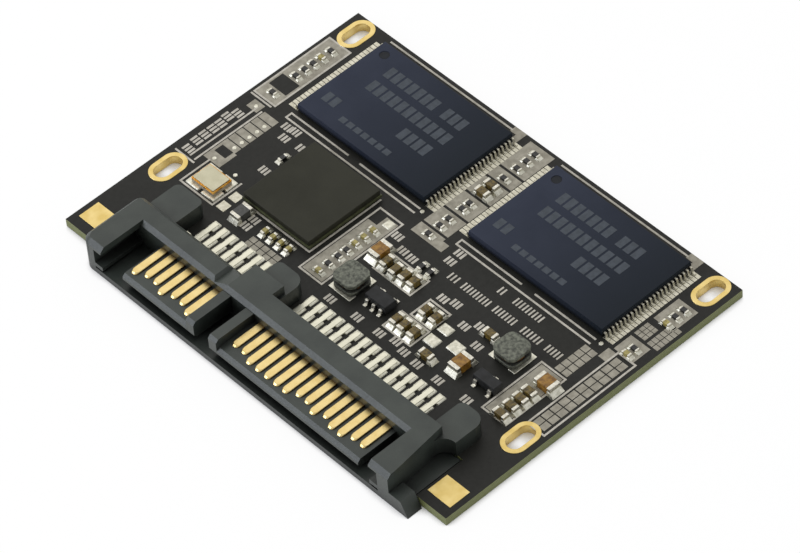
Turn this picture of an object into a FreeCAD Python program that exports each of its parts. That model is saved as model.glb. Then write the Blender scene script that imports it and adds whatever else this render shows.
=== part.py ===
# Serial-interface solid state drive module: a bare circuit board with a 22-position plug in its front edge.
# Frame: +X towards the plug, +Y along the long edge, +Z up. The origin is the middle of the four
# screw slots, on the underside of the board. Millimetres and degrees.
import FreeCAD, Part
import math
import os
import re
import Sketcher

# Contacts in runs of one length: first pin, how many, and which setback of the nose
signal_runs = [(1, 1, "long"), (2, 2, "short"), (4, 1, "long"), (5, 2, "short"), (7, 1, "long")]
power_runs = [(1, 2, "short"), (3, 5, "long"), (8, 2, "short"), (10, 1, "long"), (11, 1, "short"),
              (12, 2, "long"), (14, 2, "short")]
flash_pins = 24
ball_rows = 11
ball_sides = 6


def pin_count(runs):
    return sum(count for _, count, _ in runs)


bank_steps = pin_count(signal_runs) + pin_count(power_runs) - 2

# Driving dimensions, each written once
driving = {
    "board_thick": 1.0,
    "slot_span": 25.25,
    "slot_edge": 2.2,
    "slot_inset": 2.05,
    "slot_wide": 1.75,
    "slot_long": 3.3,
    "barrel_wall": 0.1,
    "ring_rim": 0.52,
    "ring_thick": 0.05,
    "plating_gap": 0.02,
    "corner_pad_deep": 2.55,
    "corner_pad_front": 1.15,
    "corner_pad_side": 0.65,
    "corner_pad_wide": 3.05,
    "corner_pad_gap": 0.3,
    "pad_thick": 0.05,
    "notch_gap": 0.15,
    "flash_long": 18.4,
    "flash_tips": 0.8,
    "flash_wide": 12.0,
    "flash_high": 1.0,
    "flash_lift": 0.1,
    "flash_gap": 4.55,
    "flash_side": 4.725,
    "flash_rear": 1.5,
    "flash_draft": 8.0,
    "flash_pitch": 0.5,
    "flash_lead_wide": 0.22,
    "flash_lead_thick": 0.13,
    "flash_foot": 0.5,
    "dimple_wide": 1.1,
    "dimple_inset": 1.4,
    "dimple_deep": 0.06,
    "chip_gap": 2.2,
    "controller_size": 9.7,
    "controller_side": 11.575,
    "substrate_thick": 0.28,
    "cap_thick": 0.64,
    "cap_inset": 0.12,
    "ball_high": 0.3,
    "ball_wide": 0.42,
    "ball_pitch": 0.8,
    "passive_zone": 3.75,
    "plug_seat": 9.85,
    "plug_shift": 0.175,
    "pin_pitch": 1.27,
    "bank_gap": 6.35,
    "contact_wide": 0.84,
    "tail_wide": 0.6,
    "contact_thick": 0.2,
    "contact_gap": 0.02,
    "contact_nose": 0.22,
    "long_setback": 0.75,
    "short_setback": 1.3,
    "tail_run": 0.55,
    "tail_slope": 0.45,
    "plug_reach": 1.95,
    "plug_high": 4.0,
    "floor_thick": 0.7,
    "tongue_low": 1.42,
    "tongue_thick": 1.03,
    "tongue_setback": 0.25,
    "tongue_nose": 0.35,
    "signal_margin": 0.685,
    "power_margin": 0.955,
    "key_margin": 2.105,
    "key_thick": 1.1,
    "key_high": 1.05,
    "wall_setback": 3.2,
    "wall_thick": 2.6,
    "wall_chamfer": 0.45,
    "left_mouth": 2.765,
    "right_mouth": 1.745,
    "left_arm_wide": 2.95,
    "right_arm_wide": 2.65,
    "arm_taper": 0.8,
    "arm_web": 1.1,
    "arm_plate": 0.75,
    "arm_chamfer": 0.5,
    "arm_round": 1.2,
    "rear_round": 0.8,
    "tab_low": 0.95,
    "tab_thick": 0.5,
    "flange_wide": 1.45,
    "flange_thick": 0.9,
    "wing_wide": 2.48,
    "wing_high": 1.7,
    "wing_slope": 0.9,
    "lug_high": 2.0,
    "lug_wide": 3.8,
    "lug_deep": 4.0,
    "lug_offset": 1.0,
    "lug_round": 0.7,
    "lug_bow": 1.4,
    "lug_inset": 0.5,
    "scoop_round": 1.4,
    "block_wide": 4.0,
    "block_deep": 1.5,
    "ramp_wide": 1.5,
    "ramp_high": 0.4,
    "ramp_back": 0.3,
    "crystal_long": 3.2,
    "crystal_wide": 2.5,
    "crystal_base_high": 0.4,
    "crystal_ring_high": 0.22,
    "crystal_ring_wall": 0.3,
    "crystal_lid_thick": 0.12,
    "crystal_lid_inset": 0.12,
    "crystal_side": 20.4,
    "crystal_behind": 3.3,
    "inductor_size": 3.0,
    "inductor_flange": 0.45,
    "inductor_high": 1.5,
    "inductor_round": 0.8,
    "inductor_post": 1.7,
    "inductor_coat": 2.6,
    "terminal_thick": 0.1,
    "terminal_wide": 0.9,
    "terminal_reach": 0.3,
    "package_long": 2.9,
    "package_high": 1.0,
    "package_lift": 0.1,
    "package_draft": 7.0,
    "regulator_wide": 1.6,
    "regulator_tips": 0.6,
    "transistor_wide": 1.3,
    "transistor_tips": 0.55,
    "package_pitch": 0.95,
    "package_lead_wide": 0.4,
    "package_lead_thick": 0.15,
    "package_foot": 0.38,
    "strip_inset": 2.1,
}

# Chip part sizes: length over the ends, width, height, and length of each end cap
chips = {
    "bulk": (2.2, 1.4, 1.0, 0.45),
    "medium": (1.6, 0.8, 0.75, 0.35),
    "small": (1.0, 0.5, 0.45, 0.25),
    "flat": (1.0, 0.5, 0.35, 0.22),
    "bead": (2.0, 1.25, 0.85, 0.4),
}
for kind, measures in chips.items():
    for measure, size in zip(("long", "wide", "high", "end"), measures):
        driving[f"{kind}_{measure}"] = size

# Places worked out from the driving dimensions. The board is as long as the longer of its two rows needs.
worked_out = {
    "board_rear": "-(slot_span / 2 + slot_edge)",
    "plug_line": "flash_rear + flash_wide + chip_gap + controller_size + passive_zone",
    "tail_end": "board_rear + plug_line",
    "board_front": "tail_end + plug_seat",
    "flash_half": "flash_long / 2 + flash_tips",
    "slot_reach": "(slot_long - slot_wide) / 2",
    "flash_x": "board_rear + flash_rear + flash_wide / 2",
    "flash_y": "flash_half + flash_gap / 2",
    "flash_mid": "flash_lift + flash_high / 2",
    "controller_x": "board_rear + flash_rear + flash_wide + chip_gap + controller_size / 2",
    "controller_y": "plug_shift - controller_side",
    "controller_low": "board_thick + ball_high",
    "plug_front": "board_front + plug_reach",
    "wall_front": "board_front - wall_setback",
    "wall_rear": "wall_front - wall_thick",
    "tongue_tip": "plug_front - tongue_setback",
    "tongue_top": "tongue_low + tongue_thick",
    "contact_top": "tongue_top + contact_thick",
    "signal_first": f"plug_shift - (pin_pitch * {bank_steps} + bank_gap) / 2",
    "signal_last": f"signal_first + pin_pitch * {pin_count(signal_runs) - 1}",
    "power_first": "signal_last + bank_gap",
    "power_last": f"power_first + pin_pitch * {pin_count(power_runs) - 1}",
    "signal_low": "signal_first - signal_margin",
    "signal_high": "signal_last + key_margin",
    "power_low": "power_first - key_margin",
    "power_high": "power_last + power_margin",
    "bank_mid": "(signal_high + power_low) / 2",
    "left_inner": "signal_low - left_mouth",
    "left_outer": "left_inner - left_arm_wide",
    "right_inner": "power_high + right_mouth",
    "right_outer": "right_inner + right_arm_wide",
    "flange_end": "right_outer + flange_wide",
    "wing_end": "right_outer + wing_wide",
    "notch_left": "left_outer - notch_gap",
    "notch_right": "flange_end + notch_gap",
    "flash_row": "2 * flash_half + flash_gap / 2 + flash_side",
    "plug_row": "max(-notch_left; notch_right) + corner_pad_gap + corner_pad_wide + corner_pad_side",
    "board_half": "max(flash_row; plug_row)",
    "slot_y": "board_half - slot_inset",
    "lug_top": "board_thick + lug_high",
    "crystal_x": "tail_end - crystal_behind",
    "crystal_y": "plug_shift - crystal_side",
    "package_mid": "package_lift + package_high / 2",
}

doc = FreeCAD.newDocument("drive_module")
sizes = doc.addObject("Spreadsheet::Sheet", "sizes")
places = doc.addObject("Spreadsheet::Sheet", "places")
nodes = []


def bound(text):
    """A formula with each named value pointed at its sheet."""
    def point(match):
        name = match.group()
        if name in driving:
            return f"sizes.{name}"
        return f"places.{name}" if name in worked_out else name
    return re.sub(r"[a-z_]+", point, text)


def fill(sheet, cells):
    for row, (alias, content) in enumerate(cells.items(), start=1):
        sheet.set(f"A{row}", alias)
        sheet.set(f"B{row}", content)
        sheet.setAlias(f"B{row}", alias)
    doc.recompute()


def value(text):
    return float(sizes.evalExpression(bound(text)))


def origin_feature(body, role):
    return next(feature for feature in body.Origin.OriginFeatures if feature.Role == role)


def new_body(label):
    body = doc.addObject("PartDesign::Body", label)
    body.Label = label
    body.AllowCompound = True
    nodes.append(body)
    return body


def place(thing, x="0", y="0", z="0"):
    for axis, text in zip("xyz", (x, y, z)):
        thing.setExpression(f".Placement.Base.{axis}", bound(text))


def plane_sketch(body, plane, height):
    """A sketch on one of the body's planes, moved along its normal. The XZ plane's normal is -Y."""
    sketch = body.newObject("Sketcher::SketchObject", "outline")
    sketch.AttachmentSupport = [(origin_feature(body, f"{plane}_Plane"), "")]
    sketch.MapMode = "FlatFace"
    offset = f"-({height})" if plane == "XZ" else height
    sketch.setExpression(".AttachmentOffset.Base.z", bound(offset))
    return sketch


def pin_point(sketch, edge, end, x, y):
    """Hold a point of the sketch at the distances that two formulas give."""
    for kind, text in (("DistanceX", x), ("DistanceY", y)):
        constraint = sketch.addConstraint(Sketcher.Constraint(kind, -1, 1, edge, end, value(text)))
        sketch.setExpression(f"Constraints[{constraint}]", bound(text))


def polygon(sketch, points):
    corners = [FreeCAD.Vector(value(x), value(y), 0) for x, y in points]
    following = corners[1:] + corners[:1]
    edges = [sketch.addGeometry(Part.LineSegment(a, b)) for a, b in zip(corners, following)]
    for edge, after in zip(edges, edges[1:] + edges[:1]):
        sketch.addConstraint(Sketcher.Constraint("Coincident", edge, 2, after, 1))
    for edge, (x, y) in zip(edges, points):
        pin_point(sketch, edge, 1, x, y)


def rectangle(x_low, x_high, y_low, y_high):
    return [(x_low, y_low), (x_high, y_low), (x_high, y_high), (x_low, y_high)]


def circle(sketch, x, y, wide):
    centre = FreeCAD.Vector(value(x), value(y), 0)
    edge = sketch.addGeometry(Part.Circle(centre, FreeCAD.Vector(0, 0, 1), value(wide) / 2))
    pin_point(sketch, edge, 3, x, y)
    radius = sketch.addConstraint(Sketcher.Constraint("Diameter", edge, value(wide)))
    sketch.setExpression(f"Constraints[{radius}]", bound(wide))


def obround(sketch, x, y, reach, radius):
    """A slot outline along X: two half circles a reach either side of its middle, and two straight sides."""
    upward = FreeCAD.Vector(0, 0, 1)
    mid = FreeCAD.Vector(value(x), value(y), 0)
    arm = FreeCAD.Vector(value(reach), 0, 0)
    rise = FreeCAD.Vector(0, value(radius), 0)
    quarter = math.pi / 2
    right = Part.ArcOfCircle(Part.Circle(mid + arm, upward, rise.Length), -quarter, quarter)
    left = Part.ArcOfCircle(Part.Circle(mid - arm, upward, rise.Length), quarter, 3 * quarter)
    lower = Part.LineSegment(mid - arm - rise, mid + arm - rise)
    upper = Part.LineSegment(mid + arm + rise, mid - arm + rise)
    edges = [sketch.addGeometry(piece) for piece in (lower, right, upper, left)]
    for edge, after in zip(edges, edges[1:] + edges[:1]):
        sketch.addConstraint(Sketcher.Constraint("Tangent", edge, 2, after, 1))
    pin_point(sketch, edges[1], 3, f"{x} + {reach}", y)
    pin_point(sketch, edges[3], 3, f"{x} - ({reach})", y)
    size = sketch.addConstraint(Sketcher.Constraint("Radius", edges[1], value(radius)))
    sketch.setExpression(f"Constraints[{size}]", bound(radius))


def pad(body, sketch, length):
    feature = body.newObject("PartDesign::Pad", "pad")
    feature.Profile = sketch
    feature.setExpression("Length", bound(length))
    doc.recompute()
    return feature


def pocket(body, sketch, length):
    before = body.Tip.Shape.Volume
    feature = body.newObject("PartDesign::Pocket", "pocket")
    feature.Profile = sketch
    feature.setExpression("Length", bound(length))
    doc.recompute()
    if not feature.Shape.Volume < before:
        raise RuntimeError(f"a pocket of {body.Label} cuts nothing")
    return feature


def prism(body, plane, outlines, low, high):
    """Material between two heights along a plane's normal, from one or more outlines."""
    sketch = plane_sketch(body, plane, high if plane == "XZ" else low)
    for outline in outlines:
        polygon(sketch, outline)
    return pad(body, sketch, f"{high} - ({low})")


def cut_prism(body, plane, outlines, low, high):
    sketch = plane_sketch(body, plane, low if plane == "XZ" else high)
    for outline in outlines:
        polygon(sketch, outline)
    return pocket(body, sketch, f"{high} - ({low})")


def repeat(body, feature, axis, step, count):
    """Copies of a feature in a row along one of the body's axes."""
    row = body.newObject("PartDesign::LinearPattern", "row")
    row.Originals = [feature]
    row.Direction = (origin_feature(body, f"{axis}_Axis"), [""])
    row.setExpression("Length", bound(f"({step}) * {count - 1}"))
    row.Occurrences = count
    body.Tip = row
    doc.recompute()
    return row


def edges_at(shape, x=None, y=None, z=None, upright=False, top=None):
    """Names of the straight or round edges that lie wholly at the given places, and end at the height top."""
    close = 1e-4
    names = []
    for number, edge in enumerate(shape.Edges, start=1):
        box = edge.BoundBox
        spans = ((x, box.XMin, box.XMax), (y, box.YMin, box.YMax), (z, box.ZMin, box.ZMax))
        level = all(at is None or max(abs(low - at), abs(high - at)) < close for at, low, high in spans)
        level = level and (top is None or abs(box.ZMax - top) < close)
        if level and (not upright or box.ZLength > max(box.XLength, box.YLength)):
            names.append(f"Edge{number}")
    return names


def dress(body, kind, names, size_name, size):
    base = body.Tip
    feature = body.newObject(f"PartDesign::{kind}", kind.lower())
    feature.Base = (base, names)
    feature.setExpression(size_name, bound(size))
    doc.recompute()
    return feature


def block(name, x, y, z, long, wide, high):
    """A box that stands on its middle point, sides along the axes."""
    box = doc.addObject("Part::Box", name)
    box.setExpression("Length", bound(long))
    box.setExpression("Width", bound(wide))
    box.setExpression("Height", bound(high))
    place(box, f"{x} - ({long}) / 2", f"{y} - ({wide}) / 2", z)
    return box


def group(label, members):
    compound = doc.addObject("Part::Compound", label)
    compound.Label = label
    compound.Links = members
    nodes.append(compound)


fill(sizes, {alias: str(size) for alias, size in driving.items()})
fill(places, {alias: "=" + bound(text) for alias, text in worked_out.items()})


# Circuit board: outline with the plug's notch, and four slots, recessed below for their plated rings
board = new_body("circuit_board")
notch_rear = "wall_rear - notch_gap"
outline = [
    ("board_rear", "-board_half"), ("board_front", "-board_half"), ("board_front", "notch_left"),
    (notch_rear, "notch_left"), (notch_rear, "notch_right"), ("board_front", "notch_right"),
    ("board_front", "board_half"), ("board_rear", "board_half"),
]
prism(board, "XY", [outline], "0", "board_thick")
slot_places = [(f"{a}slot_span / 2", f"{b}slot_y") for a in ("-", "") for b in ("-", "")]
barrel_radius = "slot_wide / 2 + barrel_wall"
ring_radius = "slot_wide / 2 + ring_rim"
for low, high, radius in (("0", "board_thick", barrel_radius),
                          ("0", "ring_thick", ring_radius)):
    slots = plane_sketch(board, "XY", high)
    for x, y in slot_places:
        obround(slots, x, y, "slot_reach", f"{radius} + plating_gap")
    pocket(board, slots, f"{high} - ({low})")

# Plated slots: a barrel through the board, a ring flush with the underside and one lying on the top face
plating = new_body("slot_plating")
for low, high, radius in (("0", "ring_thick", ring_radius),
                          ("ring_thick", "board_thick", barrel_radius),
                          ("board_thick", "board_thick + ring_thick", ring_radius)):
    ring = plane_sketch(plating, "XY", low)
    for x, y in slot_places:
        obround(ring, x, y, "slot_reach", radius)
        obround(ring, x, y, "slot_reach", "slot_wide / 2")
    pad(plating, ring, f"{high} - ({low})")

# Bare gold pads at the front corners
corner_x = "board_front - corner_pad_front - corner_pad_deep / 2"
corner_y = "board_half - corner_pad_side - corner_pad_wide / 2"
group("corner_pads", [
    block("corner_pad", corner_x, f"{side}({corner_y})", "board_thick",
          "corner_pad_deep", "corner_pad_wide", "pad_thick")
    for side in ("-", "")
])

# Plug housing: floor, back wall, channel-shaped end arms, keyed tongues and the lugs that sit on the board
housing = new_body("connector_housing")
prism(housing, "XY", [rectangle("wall_rear", "plug_front", "left_outer", "right_outer")], "0", "floor_thick")
prism(housing, "XY", [rectangle("wall_rear", "wall_front", "left_outer", "right_outer")], "0", "plug_high")


def arm(inner, outer, web):
    """Section of an end arm: a channel open to the inside, with a tab above the floor."""
    plate = "plug_high - arm_plate"
    tab_top = "tab_low + tab_thick"
    return [(outer, "0"), (outer, "plug_high"), (inner, "plug_high"), (inner, plate), (web, plate),
            (web, tab_top), (inner, tab_top), (inner, "tab_low"), (web, "tab_low"), (web, "0")]


prism(housing, "YZ", [arm("left_inner", "left_outer", "left_inner - arm_web"),
                      arm("right_inner", "right_outer", "right_inner + arm_web")], "wall_front", "plug_front")

# Each tongue has a wedge nose, and a key that stands up at its inner end
tongue = [("wall_front", "tongue_low"), ("tongue_tip - tongue_nose", "tongue_low"),
          ("tongue_tip", "tongue_low + tongue_nose"), ("tongue_tip", "tongue_top - tongue_nose"),
          ("tongue_tip - tongue_nose", "tongue_top"), ("wall_front", "tongue_top")]
key_top = "tongue_top + key_high"
key = [("wall_front", "tongue_low"), ("tongue_tip - tongue_nose", "tongue_low"),
       ("tongue_tip", "tongue_low + tongue_nose"), ("tongue_tip", f"{key_top} - tongue_nose"),
       ("tongue_tip - tongue_nose", key_top), ("wall_front", key_top)]
prism(housing, "XZ", [tongue], "signal_low", "signal_high")
prism(housing, "XZ", [tongue], "power_low", "power_high")
prism(housing, "XZ", [key], "signal_high - key_thick", "signal_high")
prism(housing, "XZ", [key], "power_low", "power_low + key_thick")

# Flange beside the right arm, and the wing in front of the board's corner
prism(housing, "XY", [rectangle("wall_rear", "plug_front", "right_outer", "flange_end")], "0", "flange_thick")
wing = [("right_outer", "0"), ("wing_end", "0"), ("wing_end - wing_slope", "wing_high"),
        ("right_outer", "wing_high")]
prism(housing, "YZ", [wing], "board_front + notch_gap", "plug_front")

# The right arm draws in towards the wall, behind its chamfered front
drawn_in = "right_outer - arm_taper"
taper = [("plug_front - 2 * arm_chamfer", "right_outer"), ("wall_rear", "right_outer"),
         ("wall_rear", drawn_in)]
cut_prism(housing, "XY", [taper], "flange_thick", "plug_high")

# Lugs over the board and the block between the banks
lug_rear = "wall_rear - lug_deep"
middle_lug = "bank_mid - block_wide / 2 + lug_offset / 2"
lugs = [("left_outer + lug_offset", "left_outer + lug_offset + lug_wide", "lug_round"),
        (middle_lug, f"{middle_lug} + lug_wide", "lug_bow"),
        ("flange_end - lug_wide", "flange_end - lug_inset", "lug_bow")]
prism(housing, "XY", [rectangle(lug_rear, "wall_rear", low, high) for low, high, bow in lugs],
      "board_thick", "lug_top")
block_low = "bank_mid - block_wide / 2"
block_plan = rectangle("wall_rear - block_deep", "wall_rear", block_low, "bank_mid + block_wide / 2")
prism(housing, "XY", [block_plan], "board_thick", "plug_high")

# A slot through the back wall for each contact, level with the tongue's face
for first, runs in (("signal_first", signal_runs), ("power_first", power_runs)):
    half = "(contact_wide / 2 + contact_gap)"
    opening = rectangle(f"{first} - {half}", f"{first} + {half}", "tongue_top", "contact_top + contact_gap")
    cut = cut_prism(housing, "YZ", [opening], "wall_rear", "wall_front")
    repeat(housing, cut, "Y", "pin_pitch", pin_count(runs))

shape = housing.Tip.Shape
dress(housing, "Fillet", edges_at(shape, x=value("plug_front"), y=value("left_outer"), upright=True),
      "Radius", "arm_round")
shape = housing.Tip.Shape
dress(housing, "Fillet", edges_at(shape, x=value("wall_rear"), y=value("left_outer"), upright=True),
      "Radius", "rear_round")
shape = housing.Tip.Shape
inner_corners = [name for low, high, bow in lugs
                 for name in edges_at(shape, x=value(lug_rear), y=value(low), upright=True)]
dress(housing, "Fillet", inner_corners, "Radius", "lug_round")
for low, high, bow in lugs:
    dress(housing, "Fillet", edges_at(housing.Tip.Shape, x=value(lug_rear), y=value(high), upright=True),
          "Radius", bow)
shape = housing.Tip.Shape
scoop = edges_at(shape, x=value("wall_rear"), y=value(drawn_in), upright=True, top=value("lug_top"))
dress(housing, "Fillet", scoop, "Radius", "scoop_round")
dress(housing, "Chamfer", edges_at(housing.Tip.Shape, x=value("plug_front"), z=value("plug_high")),
      "Size", "arm_chamfer")

# Shallow ramp beside the block in the wall's top, and the wall's lead-in edge
ramp_foot = f"{block_low} - ramp_wide"
ramp = [(block_low, "plug_high"), (ramp_foot, "plug_high - ramp_high"),
        (f"{ramp_foot} - ramp_back", "plug_high")]
cut_prism(housing, "YZ", [ramp], "wall_rear", "wall_front")
lead_in = [("wall_front", "plug_high"), ("wall_front - wall_chamfer", "plug_high"),
           ("wall_front", "plug_high - wall_chamfer")]
cut_prism(housing, "XZ", [lead_in], "left_inner", "right_inner")


def contact(setback):
    """Side views of one contact: the blade on the tongue, and the narrower tail, bent down to the board."""
    tip = f"tongue_tip - {setback}"
    step = "(wall_front + wall_rear) / 2"
    knee = "wall_rear - tail_run"
    heel = f"{knee} - tail_slope"
    blade = [(tip, "tongue_top"), (f"{tip} - contact_nose", "contact_top"), (step, "contact_top"),
             (step, "tongue_top")]
    tail = [(step, "tongue_top"), (step, "contact_top"), (knee, "contact_top"),
            (heel, "board_thick + contact_thick"), ("tail_end", "board_thick + contact_thick"),
            ("tail_end", "board_thick"), (f"{heel} + contact_thick", "board_thick"),
            (f"{knee} + contact_thick", "tongue_top")]
    return ((blade, "contact_wide"), (tail, "tail_wide"))


for label, first_pin, runs in (("signal_contacts", "signal_first", signal_runs),
                               ("power_contacts", "power_first", power_runs)):
    contacts = new_body(label)
    for pin, count, reach in runs:
        middle = f"({first_pin} + pin_pitch * {pin - 1})"
        for profile, wide in contact(f"{reach}_setback"):
            strip = prism(contacts, "XZ", [profile], f"{middle} - {wide} / 2", f"{middle} + {wide} / 2")
            if count > 1:
                repeat(contacts, strip, "Y", "pin_pitch", count)


def lead(side, start, tip, foot, thick, middle):
    """Side view of a gull-wing lead from the package's side down to its foot."""
    heel = f"({tip} - {foot})"
    knee = f"({heel} - {thick})"
    points = [(start, f"{middle} - {thick} / 2"), (knee, f"{middle} - {thick} / 2"), (heel, "0"), (tip, "0"),
              (tip, thick), (f"{heel} + {thick}", thick), (f"{knee} + {thick}", f"{middle} + {thick} / 2"),
              (start, f"{middle} + {thick} / 2")]
    return [(f"{side}({across})", up) for across, up in points]


def moulding(label, x, y, long, wide, low, middle, high, draft):
    """A moulded package: both halves taper away from the parting line where the leads come out."""
    body = new_body(label)
    place(body, x, y, "board_thick")
    half = rectangle(f"-{wide} / 2", f"{wide} / 2", f"-{long} / 2", f"{long} / 2")
    upper = prism(body, "XY", [half], middle, high)
    upper.setExpression("TaperAngle", bound(f"-{draft}"))
    lower_sketch = plane_sketch(body, "XY", middle)
    polygon(lower_sketch, half)
    lower = pad(body, lower_sketch, f"{middle} - {low}")
    lower.Reversed = True
    lower.setExpression("TaperAngle", bound(f"-{draft}"))
    doc.recompute()
    return body


# Flash chips side by side behind the plug, with a first-pin dimple in each
for label, side in (("left", "-"), ("right", "+")):
    chip_y = f"plug_shift {side} flash_y"
    chip = moulding(f"flash_chip_{label}", "flash_x", chip_y, "flash_long", "flash_wide",
                    "flash_lift", "flash_mid", "flash_lift + flash_high", "flash_draft")
    dimple = plane_sketch(chip, "XY", "flash_lift + flash_high")
    circle(dimple, "-flash_wide / 2 + dimple_inset", "-flash_long / 2 + dimple_inset", "dimple_wide")
    pocket(chip, dimple, "dimple_deep")
    leads = new_body(f"flash_leads_{label}")
    place(leads, "flash_x", chip_y, "board_thick")
    row_start = f"-flash_pitch * {flash_pins - 1} / 2 - flash_lead_wide / 2"
    pair = [lead(way, "flash_long / 2", "flash_half", "flash_foot", "flash_lead_thick", "flash_mid")
            for way in ("", "-")]
    first = prism(leads, "YZ", pair, row_start, f"{row_start} + flash_lead_wide")
    repeat(leads, first, "X", "flash_pitch", flash_pins)

# Controller: solder balls round the edge of the grid, the laminate and its moulded cap
balls = []
ball_start = f"-ball_pitch * {ball_rows - 1} / 2"
for row in range(ball_rows):
    for column in range(ball_rows):
        if row in (0, ball_rows - 1) or column in (0, ball_rows - 1):
            ball = doc.addObject("Part::Prism", "ball")
            ball.Polygon = ball_sides
            ball.setExpression("Circumradius", bound("ball_wide / 2"))
            ball.setExpression("Height", bound("ball_high"))
            place(ball, f"controller_x + {ball_start} + ball_pitch * {row}",
                  f"controller_y + {ball_start} + ball_pitch * {column}", "board_thick")
            balls.append(ball)
group("controller_balls", balls)
group("controller_substrate", [block("laminate", "controller_x", "controller_y", "controller_low",
                                     "controller_size", "controller_size", "substrate_thick")])
cap_size = "(controller_size - 2 * cap_inset)"
group("controller_cap", [block("cap", "controller_x", "controller_y", "controller_low + substrate_thick",
                               cap_size, cap_size, "cap_thick")])

# Crystal: ceramic base, gold seal ring and metal lid
crystal_top = "board_thick + crystal_base_high"
group("crystal_base", [block("ceramic", "crystal_x", "crystal_y", "board_thick",
                             "crystal_wide", "crystal_long", "crystal_base_high")])
seal = new_body("crystal_seal_ring")
place(seal, "crystal_x", "crystal_y", crystal_top)
outer = rectangle("-crystal_wide / 2", "crystal_wide / 2", "-crystal_long / 2", "crystal_long / 2")
inner = [(f"{x} {'+' if x.startswith('-') else '-'} crystal_ring_wall",
          f"{y} {'+' if y.startswith('-') else '-'} crystal_ring_wall") for x, y in outer]
prism(seal, "XY", [outer, inner], "0", "crystal_ring_high")
group("crystal_lid", [block("lid", "crystal_x", "crystal_y", f"{crystal_top} + crystal_ring_high",
                            "crystal_wide - 2 * crystal_lid_inset", "crystal_long - 2 * crystal_lid_inset",
                            "crystal_lid_thick")])

# Power inductors: a drum core between square flanges, its coated winding, and two terminals underneath.
# Each is placed by how far it lies across from the plug's middle and behind the contact feet.
inductors = {"front": ("-0.675", "3.85", False), "rear": ("17.025", "8.15", True)}
cores = new_body("inductor_cores")
coatings = new_body("inductor_coatings")
terminals = []
flange_low = "board_thick + terminal_thick"
flange_top = "board_thick + inductor_high - inductor_flange"
for across, behind, sideways in inductors.values():
    x = f"(tail_end - {behind})"
    y = f"(plug_shift + {across})"
    half = "inductor_size / 2"
    square = rectangle(f"{x} - {half}", f"{x} + {half}", f"{y} - {half}", f"{y} + {half}")
    prism(cores, "XY", [square], flange_low, f"{flange_low} + inductor_flange")
    post = plane_sketch(cores, "XY", f"{flange_low} + inductor_flange")
    circle(post, x, y, "inductor_post")
    pad(cores, post, f"{flange_top} - ({flange_low} + inductor_flange)")
    prism(cores, "XY", [square], flange_top, f"{flange_top} + inductor_flange")
    sleeve = plane_sketch(coatings, "XY", f"{flange_low} + inductor_flange")
    circle(sleeve, x, y, "inductor_coat")
    circle(sleeve, x, y, "inductor_post")
    pad(coatings, sleeve, f"{flange_top} - ({flange_low} + inductor_flange)")
    shift = "((inductor_size - terminal_wide) / 2 + terminal_reach)"
    for way in ("+", "-"):
        spread = ("terminal_wide", "inductor_size")
        at = (f"{x} {way} {shift}", y)
        if sideways:
            spread = spread[::-1]
            at = (x, f"{y} {way} {shift}")
        terminals.append(block("terminal", *at, "board_thick", *spread, "terminal_thick"))
corners = []
for across, behind, _ in inductors.values():
    for way in (-1, 1):
        corners += [name for face in (-1, 1) for name in edges_at(
            cores.Tip.Shape, x=value(f"tail_end - {behind}") + way * value("inductor_size") / 2,
            y=value(f"plug_shift + {across}") + face * value("inductor_size") / 2, upright=True)]
dress(cores, "Fillet", corners, "Radius", "inductor_round")
group("inductor_terminals", terminals)

# Leaded packages in front of the inductors: place, and the leads on the rear and front sides in pitches
packages = {
    "regulator": ("3.225", "4.0", (-1, 1), (-1, 0, 1)),
    "transistor": ("18.025", "4.0", (0,), (-1, 1)),
}
for label, (across, behind, rear_leads, front_leads) in packages.items():
    x = f"tail_end - {behind}"
    y = f"plug_shift + {across}"
    moulding(f"{label}_body", x, y, "package_long", f"{label}_wide", "package_lift", "package_mid",
             "package_lift + package_high", "package_draft")
    leads = new_body(f"{label}_leads")
    place(leads, x, y, "board_thick")
    for way, columns in (("-", rear_leads), ("", front_leads)):
        side = lead(way, f"{label}_wide / 2", f"{label}_wide / 2 + {label}_tips", "package_foot",
                    "package_lead_thick", "package_mid")
        for column in columns:
            middle = f"package_pitch * {column}"
            prism(leads, "XZ", [side], f"{middle} - package_lead_wide / 2",
                  f"{middle} + package_lead_wide / 2")

# Chip parts. Along the board's sides and between the flash chips they lie across, in columns placed by
# their distance ahead of the flash chips' middle.
left_column = "strip_inset - board_half"
right_column = "board_half - strip_inset"
columns = [
    (left_column, "flat", (-1.85, 0.55, 1.7, 2.9, 6.05)),
    (left_column, "small", (-0.55,)),
    ("plug_shift", "flat", (-6.05, -4.85, -3.55, -1.75, 2.85, 3.85, 5.65, 6.85, 8.35)),
    ("plug_shift", "medium", (-0.1, 1.15)),
    (right_column, "flat", (-1.7, -0.55, 4.95)),
    (right_column, "small", (0.65, 5.95)),
]
chip_places = [(kind, f"flash_x + {ahead}", y, False) for y, kind, steps in columns for ahead in steps]

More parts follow.
